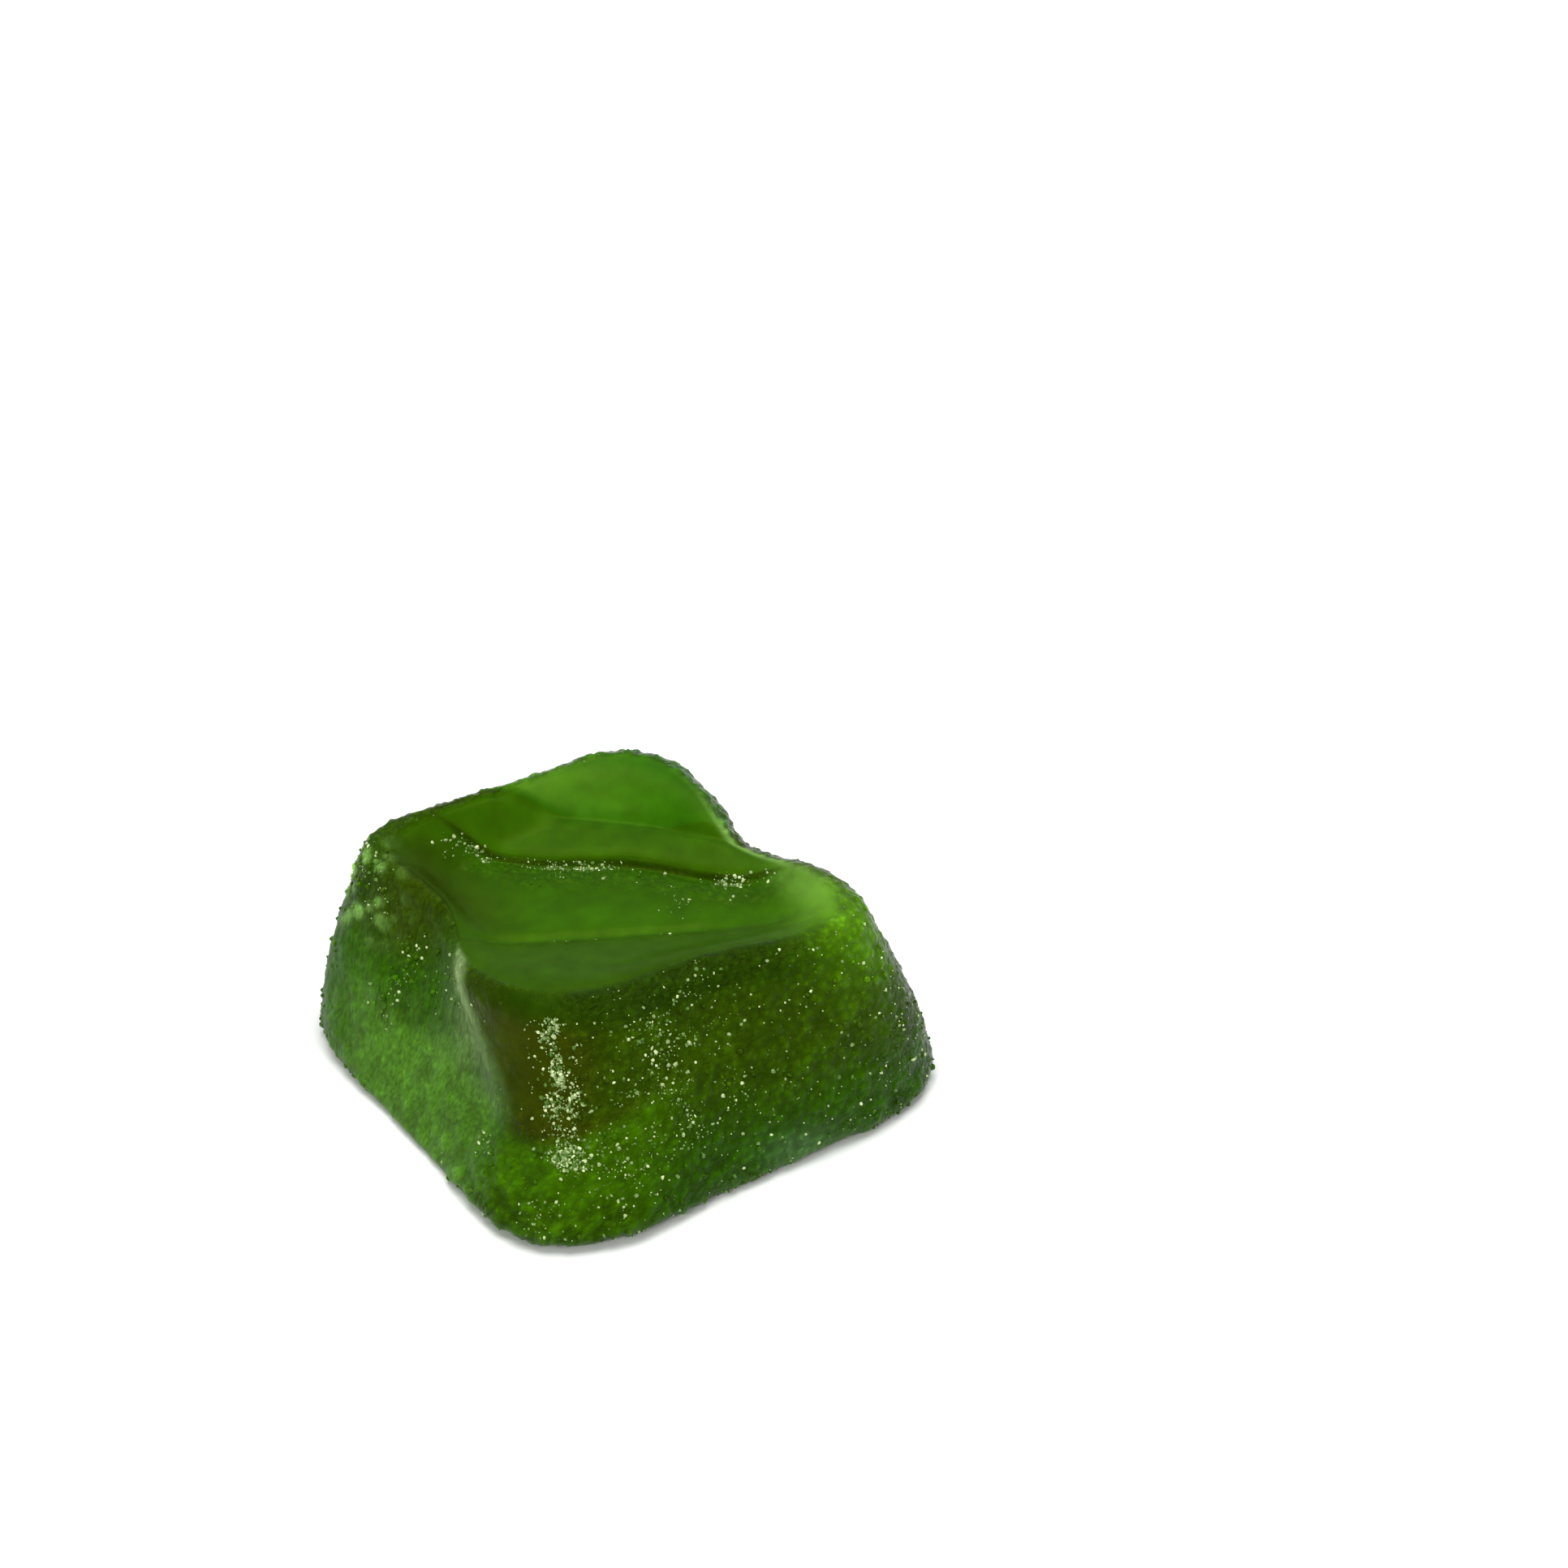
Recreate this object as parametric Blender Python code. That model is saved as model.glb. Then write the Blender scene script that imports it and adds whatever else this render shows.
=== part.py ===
"""Gummy candy: one soft, slumped block with a folded top, a hollow left side and a flared front foot.

The block is a cube whose corners are rounded away by functions. A point of the cube gives a plan
direction and a place on the profile, which runs from the middle of the base, round the foot, up the
side, over the shoulder and in to the middle of the top. Lengths are in millimetres until the end.
+Z is up. The left side is -X and the front side is -Y; the rear lobe is the corner at +X, +Y.
"""

import bmesh
import bpy
import numpy as np

NAME = "gummy"
MM = 0.001

# Corners of the base and of the top, in plan
BASE_CORNERS = {"front": (-10.6, -9.8), "right": (10.4, -10.3), "rear": (10.2, 10.2), "left": (-10.1, 10.3)}
TOP_CORNERS = {"front": (-7.2, -4.9), "right": (8.1, -8.1), "rear": (6.2, 7.4), "left": (-8.2, 9.3)}
RIM_HEIGHTS = {"front": 7.9, "right": 8.5, "rear": 9.5, "left": 9.3}
NOMINAL_HEIGHT = 9.2
SQUARENESS_BASE = 5.0
SQUARENESS_TOP = 4.4
FOOT_RADIUS = 0.8
SHOULDER_RADIUS = 0.95
REAR_SLOPE = 0.50

# Shares of the profile: base, foot, side, shoulder and top
PROFILE_SHARES = (0.10, 0.07, 0.33, 0.13, 0.37)

# Folds of the top, then hollows and bulges of the sides, in millimetres
FORM = {
    "floor_height": 7.3,
    "shelf_height": 8.15,
    "lip_width": 0.8,
    "groove_depth": 0.22,
    "crease_depth": 0.12,
    "rear_crease_at": 4.75,
    "rim_saddle": 0.9,
    "left_saddle": 1.0,
    "left_hollow": 0.45,
    "left_waist": 1.2,
    "right_waist": 0.95,
    "rear_waist": 0.45,
    "front_waist": 0.7,
    "foot": 0.65,
    "wave": 0.08,
}

# Segments along a cube edge, rows of the foot and side, and the reach of the straight rows of the top
SEGMENTS = 32
FOOT_ROWS = 3
SIDE_ROWS = 21
STRAIGHT_ROWS = 0.78

CENTRE = (0.0309, 0.1726)


def smooth(start, end, value):
    """0 before start, 1 after end, and an S-shaped step between them."""
    t = np.clip((value - start) / (end - start), 0.0, 1.0)
    return t * t * (3.0 - 2.0 * t)


def bell(value, width):
    """1 at zero, falling to both sides like a bell."""
    return np.exp(-((value / width) ** 2))


def between_corners(corners, u, v):
    """A value given at the four corners, spread evenly over the square -1..1 by -1..1."""
    front, right, rear, left = (np.asarray(corners[k], float) for k in ("front", "right", "rear", "left"))
    if front.ndim:
        u, v = u[..., None], v[..., None]
    low = (1 - v) * ((1 - u) * front + (1 + u) * right)
    high = (1 + v) * ((1 + u) * rear + (1 - u) * left)
    return (low + high) / 4


def on_squircle(cos, sin, squareness):
    """The point of a rounded square in a direction given by its cosine and sine."""
    reach = (np.abs(cos) ** squareness + np.abs(sin) ** squareness) ** (-1.0 / squareness)
    return cos * reach, sin * reach


def top_height(form, x, y, share, u, v):
    """Height of the top: a rim round a dish, with a rear lobe, a shelf with a lip, a floor and a front lobe."""
    along = (x + y) / np.sqrt(2)
    across = (x - y) / np.sqrt(2)
    rim = between_corners(RIM_HEIGHTS, u, v)
    rim = rim - form["rim_saddle"] * bell(y + 0.6, 2.6) * smooth(1.5, 5.0, x)
    rim = rim - form["left_saddle"] * bell(y - 1.5, 4.0) * smooth(-3.0, -6.0, x)
    inside = smooth(1.0, 0.62, share)
    fade = smooth(1.0, 0.88, share)
    lip_at = 2.8 + 0.22 * np.sin(0.75 * across + 1.6) + 0.02 * across
    crease_at = -1.6 + 0.27 * across
    floor = form["floor_height"] + 0.04 * along
    floor = floor + 0.30 * np.clip(crease_at - along, 0.0, None) - 0.018 * np.clip(crease_at - along, 0.0, None) ** 2
    behind = along - form["rear_crease_at"]
    shelf = form["shelf_height"] + 0.22 * np.clip(behind, None, 0.0) + REAR_SLOPE * np.clip(behind, 0.0, None)
    onto = smooth(lip_at - form["lip_width"], lip_at, along)
    dish = floor * (1 - onto) + shelf * onto
    height = rim * (1 - inside) + dish * inside
    reach = smooth(8.4, 6.0, np.abs(across + 1.0))
    groove = bell(along - lip_at + form["lip_width"], form["lip_width"] + 0.12)
    height = height - form["groove_depth"] * groove * reach * fade
    height = height - form["crease_depth"] * bell(behind, form["lip_width"] + 0.08) * fade
    short = smooth(6.0, 3.5, np.abs(across + 0.6))
    return height - form["crease_depth"] * bell(along - crease_at, form["lip_width"] + 0.12) * short * fade


def side_push(form, cos, sin, x, y, z, edge):
    """How far the side stands out along its plan direction: hollows, a ridge and a foot at the front."""
    left = smooth(0.15, 0.75, -cos)
    right = smooth(0.30, 0.90, cos)
    rear = smooth(0.30, 0.90, sin)
    front = smooth(0.30, 0.90, -sin)
    across = (x - y) / np.sqrt(2)
    ridge_at = -7.7 + 1.12 * z + 3.0 * smooth(7.2, 8.8, z)
    hollow = smooth(-0.1, 1.7, y - ridge_at) * smooth(8.8, 5.4, y)
    push = -form["left_hollow"] * left * hollow * smooth(0.8, 4.0, z) * smooth(9.6, 7.2, z)
    push = push - form["left_waist"] * left * bell(y - 4.6, 2.8) * smooth(3.8, 8.2, z)
    push = push - form["right_waist"] * right * bell(y - 0.6, 3.0) * smooth(2.0, 8.0, z)
    push = push - form["rear_waist"] * rear * bell(x + 1.0, 4.5) * smooth(1.0, 6.5, z)
    push = push - form["front_waist"] * front * bell(x - 0.3, 3.8) * smooth(2.5, 8.0, z)
    crease_at = 3.5 + 0.42 * np.clip(across, 0.0, None) + 0.19 * np.clip(across, None, 0.0)
    reach = smooth(-6.5, -2.5, across) * smooth(6.0, 2.5, across)
    foot = smooth(crease_at + 0.25, crease_at - 0.45, z) * (0.55 + 0.45 * smooth(0.0, 1.2, crease_at - z))
    return edge * push + form["foot"] * reach * foot * smooth(0.0, 0.8, z)


def candy_surface(form, theta, place):
    """Points in millimetres from a plan angle and a place on the profile from 0 to 1.

    The profile runs from the middle of the base round the foot, up the side, over the shoulder and in to
    the middle of the top. Its plan is a rounded square at the base and another at the top, blended by height.
    """
    cuts = np.concatenate([[0.0], np.cumsum(PROFILE_SHARES)])
    base, foot, side, shoulder, top = (
        np.clip((place - a) / (b - a), 0.0, 1.0) for a, b in zip(cuts[:-1], cuts[1:], strict=True)
    )
    cos, sin = np.cos(theta), np.sin(theta)
    foot_in = FOOT_RADIUS * (1 - np.sin(foot * np.pi / 2))
    foot_up = FOOT_RADIUS * (1 - np.cos(foot * np.pi / 2))
    shoulder_in = SHOULDER_RADIUS * (1 - np.cos(shoulder * np.pi / 2))
    shoulder_up = SHOULDER_RADIUS * np.sin(shoulder * np.pi / 2)
    straight = (NOMINAL_HEIGHT - FOOT_RADIUS - SHOULDER_RADIUS) * side
    level = (foot_up + straight + shoulder_up) / NOMINAL_HEIGHT

    swollen = smooth(0.35, 0.95, np.abs(cos - sin) / np.sqrt(2))
    flared = smooth(0.60, 0.98, (-cos - sin) / np.sqrt(2))
    base_share = base * (1 - foot_in / 9.5)
    top_share = (1 - top) * (1 - shoulder_in / 7.2)
    base_u, base_v = on_squircle(cos, sin, SQUARENESS_BASE)
    top_u, top_v = on_squircle(cos, sin, SQUARENESS_TOP - 0.6 * flared)
    below = between_corners(BASE_CORNERS, base_u * base_share, base_v * base_share)
    above = between_corners(TOP_CORNERS, top_u * top_share, top_v * top_share)

    taper = level ** (1.0 + 0.58 * swollen)
    hollowed = 1 - (1 - level) ** 2.0
    concave = smooth(0.20, 0.80, -cos) * smooth(0.60, 0.10, sin)
    taper_x = taper + (hollowed - taper) * concave
    x = below[..., 0] + (above[..., 0] - below[..., 0]) * taper_x
    y = below[..., 1] + (above[..., 1] - below[..., 1]) * taper
    z = level * top_height(form, above[..., 0], above[..., 1], top_share, top_u * top_share, top_v * top_share)

    push = side_push(form, cos, sin, x, y, z, smooth(0.50, 1.0, top_share))
    wave = np.sin(0.9 * x + 1.3) * np.sin(0.8 * y - 0.4) * np.sin(0.7 * z + 0.6)
    push = push + form["wave"] * wave * smooth(0.50, 1.0, top_share) * smooth(0.3, 1.5, z)
    return np.stack([x + push * cos - CENTRE[0], y + push * sin - CENTRE[1], z], axis=-1)


def cube_to_profile(points):
    """Plan angle and place on the profile for each point of a cube from -1 to 1.

    The cube stands turned by an eighth of a turn, so that the rows of its top face run along the folds.
    """
    a, b, c = points.T
    cuts = np.concatenate([[0.0], np.cumsum(PROFILE_SHARES)])
    turned = np.arctan2(b * np.sqrt(1 - a**2 / 2), a * np.sqrt(1 - b**2 / 2)) + np.pi / 4
    disc = np.hypot(a * np.sqrt(1 - b**2 / 2), b * np.sqrt(1 - a**2 / 2))
    rim_x, rim_y = on_squircle(np.cos(turned), np.sin(turned), SQUARENESS_TOP)
    outer = np.clip((a**8 + b**8) ** 0.125, 0.0, 1.0) ** 2
    plan_x = disc * rim_x * outer + STRAIGHT_ROWS * (a - b) / np.sqrt(2) * (1 - outer)
    plan_y = disc * rim_y * outer + STRAIGHT_ROWS * (a + b) / np.sqrt(2) * (1 - outer)
    theta = np.arctan2(plan_y, plan_x)
    rim_x, rim_y = on_squircle(np.cos(theta), np.sin(theta), SQUARENESS_TOP)
    share = np.hypot(plan_x, plan_y) / np.hypot(rim_x, rim_y)
    row = (c + 1) * SEGMENTS / 2
    place = np.interp(row, (0, FOOT_ROWS, FOOT_ROWS + SIDE_ROWS, SEGMENTS), cuts[1:5])
    place = np.where(c > 1 - 1e-6, 1 - share * (1 - cuts[4]), place)
    place = np.where(c < -1 + 1e-6, share * cuts[1], place)
    return theta, place


def gel_material():
    """Green gelatine with a soft gloss."""
    material = bpy.data.materials.new("gelatine_green")
    material.use_nodes = True
    shader = material.node_tree.nodes["Principled BSDF"]
    shader.inputs["Base Color"].default_value = (0.042, 0.133, 0.003, 1.0)
    shader.inputs["Roughness"].default_value = 0.28
    shader.inputs["Metallic"].default_value = 0.0
    return material


def build_candy():
    """The candy as one closed body, standing on a flat base at height zero."""
    cage = bmesh.new()
    bmesh.ops.create_cube(cage, size=2.0)
    bmesh.ops.subdivide_edges(cage, edges=cage.edges[:], cuts=SEGMENTS - 1, use_grid_fill=True)
    points = np.array([vert.co[:] for vert in cage.verts])
    theta, place = cube_to_profile(points)
    for vert, point in zip(cage.verts, candy_surface(FORM, theta, place) * MM, strict=True):
        vert.co = point
    under = [face for face in cage.faces if max(vert.co.z for vert in face.verts) < 1e-9]
    bmesh.ops.dissolve_faces(cage, faces=under)
    bmesh.ops.recalc_face_normals(cage, faces=cage.faces[:])
    mesh = bpy.data.meshes.new(NAME)
    cage.to_mesh(mesh)
    cage.free()
    mesh.shade_smooth()
    candy = bpy.data.objects.new(NAME, mesh)
    candy.data.materials.append(gel_material())
    return candy


def main():
    for thing in list(bpy.data.objects):
        bpy.data.objects.remove(thing, do_unlink=True)
    shelf = bpy.data.collections.new("gummy_candy")
    bpy.context.scene.collection.children.link(shelf)
    shelf.objects.link(build_candy())


main()
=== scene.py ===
import math

import bpy
import numpy as np
from bpy.props import FloatProperty, IntProperty, StringProperty
from mathutils import Matrix, Vector


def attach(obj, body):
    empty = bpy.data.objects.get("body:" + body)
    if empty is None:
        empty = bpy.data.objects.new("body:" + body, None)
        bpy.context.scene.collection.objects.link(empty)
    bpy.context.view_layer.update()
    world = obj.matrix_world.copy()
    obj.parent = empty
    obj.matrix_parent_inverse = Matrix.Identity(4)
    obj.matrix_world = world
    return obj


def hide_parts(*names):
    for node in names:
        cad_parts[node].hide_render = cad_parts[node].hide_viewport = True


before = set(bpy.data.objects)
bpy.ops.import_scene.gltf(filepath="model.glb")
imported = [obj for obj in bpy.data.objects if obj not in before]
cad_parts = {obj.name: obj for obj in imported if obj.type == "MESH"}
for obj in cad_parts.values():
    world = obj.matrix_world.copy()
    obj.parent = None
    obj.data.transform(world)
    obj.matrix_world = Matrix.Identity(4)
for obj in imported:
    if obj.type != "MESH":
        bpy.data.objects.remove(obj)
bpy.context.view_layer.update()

bl_info = {
    "name": "Gummy Candy",
    "version": (1, 0, 0),
    "blender": (4, 5, 0),
    "location": "View3D > Sidebar > Candy",
    "description": "A slumped green gummy candy with a folded top, a hollow side and grainy sides",
    "category": "Add Mesh",
}

MM = 0.001

# Corners of the base and of the top in plan, and heights of the rim, in millimetres
BASE_CORNERS = {"front": (-10.6, -9.8), "right": (10.4, -10.3), "rear": (10.2, 10.2), "left": (-10.1, 10.3)}
TOP_CORNERS = {"front": (-7.2, -4.9), "right": (8.1, -8.1), "rear": (6.2, 7.4), "left": (-8.2, 9.3)}
RIM_HEIGHTS = {"front": 7.9, "right": 8.5, "rear": 9.5, "left": 9.3}
NOMINAL_HEIGHT = 9.2
SQUARENESS_BASE = 5.0
SQUARENESS_TOP = 4.4
FOOT_RADIUS = 0.8
SHOULDER_RADIUS = 0.95
REAR_SLOPE = 0.50
CENTRE = (0.0309, 0.1726)

# Shares of the profile: base, foot, side, shoulder and top, and the place where the top's edge shows
PROFILE_SHARES = (0.10, 0.07, 0.33, 0.13, 0.37)
TOP_EDGE = 0.60

# Places on the profile where the rows of the skin change their spacing, the rows between them, and columns
ROW_PLACES = (0.0, 0.10, 0.17, 0.50, 0.63, 0.90, 1.0)
ROW_COUNTS = (3, 8, 64, 16, 82, 12)
COLUMNS = 512

# The skin's grains, finer grains and clumps: width of a lattice cell in millimetres, and its pattern's number
GRAIN_CELL, GRAIN_SEED = 0.46, 11
FINE_CELL, FINE_SEED = 0.26, 29
CLUMP_CELL, CLUMP_SEED = 0.75, 17

# Heights of the skin's relief in millimetres
GRAIN_HEIGHT = 0.12
FINE_HEIGHT = 0.07
CLUMP_HEIGHT = 0.26
CLUMP_SINK = 0.03
STREAK_HEIGHT = 0.042
LUMP_HEIGHT_SMOOTH = 0.010
LUMP_HEIGHT_GRAINY = 0.08

# How red, green and blue light spread in green gel, as shares of the scatter depth, and the gel's index
GEL_SPREAD = (0.45, 1.0, 0.10)
GEL_INDEX = 1.42

# Points of one bead: three rings of six, and two ends
BEAD_RING = 6
BEAD_POINTS = 3 * BEAD_RING + 2

# The picture's width in pixels, the pixel where the middle of the base shows, and that middle in metres
PICTURE_WIDTH = 1932
BASE_PIXEL = (771.5, 1275.0)
BASE_MIDDLE = (0.0006191, 0.0006274, 0.0)
SENSOR_WIDTH = 36.0


# Numbers and fields


def smooth(start, end, value):
    """0 before start, 1 after end, and an S-shaped step between them."""
    t = np.clip((value - start) / (end - start), 0.0, 1.0)
    return t * t * (3.0 - 2.0 * t)


def bell(value, width):
    """1 at zero, falling to both sides like a bell."""
    return np.exp(-((value / width) ** 2))


def near(points, spot, reach):
    """1 at a spot, falling like a bell in every direction, with a reach for each axis."""
    return np.exp(-np.sum(((points - np.array(spot)) / np.array(reach)) ** 2, axis=-1))


def chance(ix, iy, iz, seed):
    """A repeatable number from 0 to 1 for each lattice corner: the fraction left by a large sine."""
    value = np.sin(ix * 127.1 + iy * 311.7 + iz * 74.7 + seed * 53.3) * 43758.5453
    return value - np.floor(value)


def soft_noise(points, cell, seed):
    """Noise from -1 to 1: random values at the corners of a lattice, blended smoothly between them."""
    scaled = points / np.array(cell)
    low = np.floor(scaled)
    t = scaled - low
    t = t * t * (3 - 2 * t)
    total = np.zeros(points.shape[:-1])
    for corner in np.ndindex(2, 2, 2):
        weight = np.prod(np.where(np.array(corner) == 1, t, 1 - t), axis=-1)
        ix, iy, iz = np.moveaxis(low + np.array(corner), -1, 0)
        total = total + weight * chance(ix, iy, iz, seed)
    return 2 * total - 1


def bumps(points, cell, seed):
    """Round bumps from 0 to 1: one at a random place in each lattice cell, the highest one counting."""
    low = np.floor(points / cell)
    highest = np.zeros(points.shape[:-1])
    for step in np.ndindex(3, 3, 3):
        home = low + np.array(step) - 1
        ix, iy, iz = np.moveaxis(home, -1, 0)
        shift = np.stack([chance(ix, iy, iz, seed + k) for k in range(3)], axis=-1)
        away = np.linalg.norm(points - (home + shift) * cell, axis=-1)
        size = 0.35 + 0.65 * chance(ix, iy, iz, seed + 3)
        highest = np.maximum(highest, size * np.exp(-((away / (0.42 * cell * (0.6 + 0.4 * size))) ** 2)))
    return highest


# Form of the candy


def between_corners(corners, u, v):
    """A value given at the four corners, spread evenly over the square -1..1 by -1..1."""
    front, right, rear, left = (np.asarray(corners[k], float) for k in ("front", "right", "rear", "left"))
    if front.ndim:
        u, v = u[..., None], v[..., None]
    low = (1 - v) * ((1 - u) * front + (1 + u) * right)
    high = (1 + v) * ((1 + u) * rear + (1 - u) * left)
    return (low + high) / 4


def on_squircle(cos, sin, squareness):
    """The point of a rounded square in a direction given by its cosine and sine."""
    reach = (np.abs(cos) ** squareness + np.abs(sin) ** squareness) ** (-1.0 / squareness)
    return cos * reach, sin * reach


def fold_lines(across):
    """Where the lip of the shelf and the front crease run, as distances towards the rear corner."""
    lip_at = 2.8 + 0.22 * np.sin(0.75 * across + 1.6) + 0.02 * across
    return lip_at, -1.6 + 0.27 * across


def foot_line(across):
    """Height of the crease over the flared foot: it rises from the front corner to both sides."""
    return 3.5 + 0.42 * np.clip(across, 0.0, None) + 0.19 * np.clip(across, None, 0.0)


def ridge_line(z):
    """Where the slanting ridge of the left side runs at a height, as a distance along Y."""
    return -7.7 + 1.12 * z + 3.0 * smooth(7.2, 8.8, z)


def top_height(form, x, y, outward, u, v):
    """Height of the top: a rim round a dish, with a rear lobe, a shelf with a lip, a floor and a front lobe.

    Outward is 0 in the middle of the top and 1 at its rim. The rim's height blends into the dish's, and bells
    across the lip and the two creases are taken off.
    """
    along = (x + y) / np.sqrt(2)
    across = (x - y) / np.sqrt(2)
    lip_at, crease_at = fold_lines(across)
    rim = between_corners(RIM_HEIGHTS, u, v)
    rim = rim - form["rim_saddle"] * bell(y + 0.6, 2.6) * smooth(1.5, 5.0, x)
    rim = rim - form["left_saddle"] * bell(y - 1.5, 4.0) * smooth(-3.0, -6.0, x)
    inside = smooth(1.0, 0.62, outward)
    fade = smooth(1.0, 0.88, outward)
    floor = form["floor_height"] + 0.04 * along
    ahead = np.clip(crease_at - along, 0.0, None)
    floor = floor + 0.30 * ahead - 0.018 * ahead**2
    behind = along - form["rear_crease_at"]
    shelf = form["shelf_height"] + 0.22 * np.clip(behind, None, 0.0) + REAR_SLOPE * np.clip(behind, 0.0, None)
    onto = smooth(lip_at - form["lip_width"], lip_at, along)
    dish = floor * (1 - onto) + shelf * onto
    height = rim * (1 - inside) + dish * inside
    reach = smooth(8.4, 6.0, np.abs(across + 1.0))
    groove = bell(along - lip_at + form["lip_width"], form["lip_width"] + 0.12)
    height = height - form["groove_depth"] * groove * reach * fade
    height = height - form["crease_depth"] * bell(behind, form["lip_width"] + 0.08) * fade
    short = smooth(6.0, 3.5, np.abs(across + 0.6))
    return height - form["crease_depth"] * bell(along - crease_at, form["lip_width"] + 0.12) * short * fade


def side_push(form, cos, sin, x, y, z, edge):
    """How far the side stands out along its plan direction: hollows, a ridge and a foot at the front."""
    left = smooth(0.15, 0.75, -cos)
    right = smooth(0.30, 0.90, cos)
    rear = smooth(0.30, 0.90, sin)
    front = smooth(0.30, 0.90, -sin)
    across = (x - y) / np.sqrt(2)
    hollow = smooth(-0.1, 1.7, y - ridge_line(z)) * smooth(8.8, 5.4, y)
    push = -form["left_hollow"] * left * hollow * smooth(0.8, 4.0, z) * smooth(9.6, 7.2, z)
    push = push - form["left_waist"] * left * bell(y - 4.6, 2.8) * smooth(3.8, 8.2, z)
    push = push - form["right_waist"] * right * bell(y - 0.6, 3.0) * smooth(2.0, 8.0, z)
    push = push - form["rear_waist"] * rear * bell(x + 1.0, 4.5) * smooth(1.0, 6.5, z)
    push = push - form["front_waist"] * front * bell(x - 0.3, 3.8) * smooth(2.5, 8.0, z)
    crease_at = foot_line(across)
    reach = smooth(-6.5, -2.5, across) * smooth(6.0, 2.5, across)
    foot = smooth(crease_at + 0.25, crease_at - 0.45, z) * (0.55 + 0.45 * smooth(0.0, 1.2, crease_at - z))
    return edge * push + form["foot"] * reach * foot * smooth(0.0, 0.8, z)


def candy_surface(form, theta, place):
    """Points in millimetres from a plan angle and a place on the profile from 0 to 1.

    The profile runs from the middle of the base round the foot, up the side, over the shoulder and in to
    the middle of the top. Its plan is a rounded square at the base and another at the top, blended by height.
    """
    cuts = np.concatenate([[0.0], np.cumsum(PROFILE_SHARES)])
    base, foot, side, shoulder, top = (
        np.clip((place - a) / (b - a), 0.0, 1.0) for a, b in zip(cuts[:-1], cuts[1:], strict=True)
    )
    cos, sin = np.cos(theta), np.sin(theta)
    foot_in = FOOT_RADIUS * (1 - np.sin(foot * np.pi / 2))
    foot_up = FOOT_RADIUS * (1 - np.cos(foot * np.pi / 2))
    shoulder_in = SHOULDER_RADIUS * (1 - np.cos(shoulder * np.pi / 2))
    shoulder_up = SHOULDER_RADIUS * np.sin(shoulder * np.pi / 2)
    straight = (NOMINAL_HEIGHT - FOOT_RADIUS - SHOULDER_RADIUS) * side
    level = (foot_up + straight + shoulder_up) / NOMINAL_HEIGHT

    swollen = smooth(0.35, 0.95, np.abs(cos - sin) / np.sqrt(2))
    flared = smooth(0.60, 0.98, (-cos - sin) / np.sqrt(2))
    base_share = base * (1 - foot_in / 9.5)
    top_share = (1 - top) * (1 - shoulder_in / 7.2)
    base_u, base_v = on_squircle(cos, sin, SQUARENESS_BASE)
    top_u, top_v = on_squircle(cos, sin, SQUARENESS_TOP - 0.6 * flared)
    below = between_corners(BASE_CORNERS, base_u * base_share, base_v * base_share)
    above = between_corners(TOP_CORNERS, top_u * top_share, top_v * top_share)

    taper = level ** (1.0 + 0.58 * swollen)
    hollowed = 1 - (1 - level) ** 2.0
    concave = smooth(0.20, 0.80, -cos) * smooth(0.60, 0.10, sin)
    taper_x = taper + (hollowed - taper) * concave
    x = below[..., 0] + (above[..., 0] - below[..., 0]) * taper_x
    y = below[..., 1] + (above[..., 1] - below[..., 1]) * taper
    top_x, top_y = above[..., 0], above[..., 1]
    z = level * top_height(form, top_x, top_y, top_share, top_u * top_share, top_v * top_share)

    push = side_push(form, cos, sin, x, y, z, smooth(0.50, 1.0, top_share))
    wave = np.sin(0.9 * x + 1.3) * np.sin(0.8 * y - 0.4) * np.sin(0.7 * z + 0.6)
    push = push + form["wave"] * wave * smooth(0.50, 1.0, top_share) * smooth(0.3, 1.5, z)
    return np.stack([x + push * cos - CENTRE[0], y + push * sin - CENTRE[1], z], axis=-1)


def surface_normals(form, theta, place):
    """Unit normals and sizes of area from two small steps over the surface."""
    step = 1e-3
    spot = candy_surface(form, theta, place)
    turn = candy_surface(form, theta + step, place) - spot
    rise = candy_surface(form, theta, place + step) - spot
    normal = np.cross(turn, rise)
    area = np.linalg.norm(normal, axis=-1)
    return normal / np.maximum(area[..., None], 1e-12), area


def grid_normals(points):
    """Unit normals of a grid that closes along its second axis, from its neighbours' differences."""
    round_about = np.roll(points, -1, axis=1) - np.roll(points, 1, axis=1)
    upward = np.gradient(points, axis=0)
    normal = np.cross(round_about, upward)
    length = np.linalg.norm(normal, axis=-1, keepdims=True)
    return normal / np.maximum(length, 1e-9)


# Where each finish lies, and where light and shade are painted


def regions(points, normal, place):
    """The main stretches of the skin, each from 0 to 1, with the coordinates that they are told by."""
    x, y, z = np.moveaxis(points, -1, 0)
    x, y = x + CENTRE[0], y + CENTRE[1]
    along = (x + y) / np.sqrt(2)
    across = (x - y) / np.sqrt(2)
    turn = np.degrees(np.arctan2(normal[..., 0] - normal[..., 1], -normal[..., 0] - normal[..., 1]))
    top = smooth(TOP_EDGE - 0.015, TOP_EDGE + 0.015, place)
    border = y - ridge_line(z) + 0.3 - 2.4 * smooth(4.4, 0.8, z)
    fan = 0.4 + 0.16 * np.clip(7.6 - z, 0.0, None)
    left = (1 - top) * smooth(-3.0, -6.0 - 3.5 * smooth(6.5, 9.0, y), x) * smooth(-fan, fan, border)
    front = (1 - top) * (1 - left) * smooth(-60, -20, turn) * smooth(105, 75, turn)
    toe = (1 - top) * smooth(foot_line(across) + 0.15, foot_line(across) - 0.5, z)
    toe = toe * smooth(-7.0, -3.5, across) * smooth(5.0, 1.5, across) * smooth(-1.0, -4.0, along)
    return {"x": x, "y": y, "z": z, "along": along, "across": across, "turn": turn, "border": border,
            "top": top, "left": left, "front": front, "toe": toe}


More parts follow.
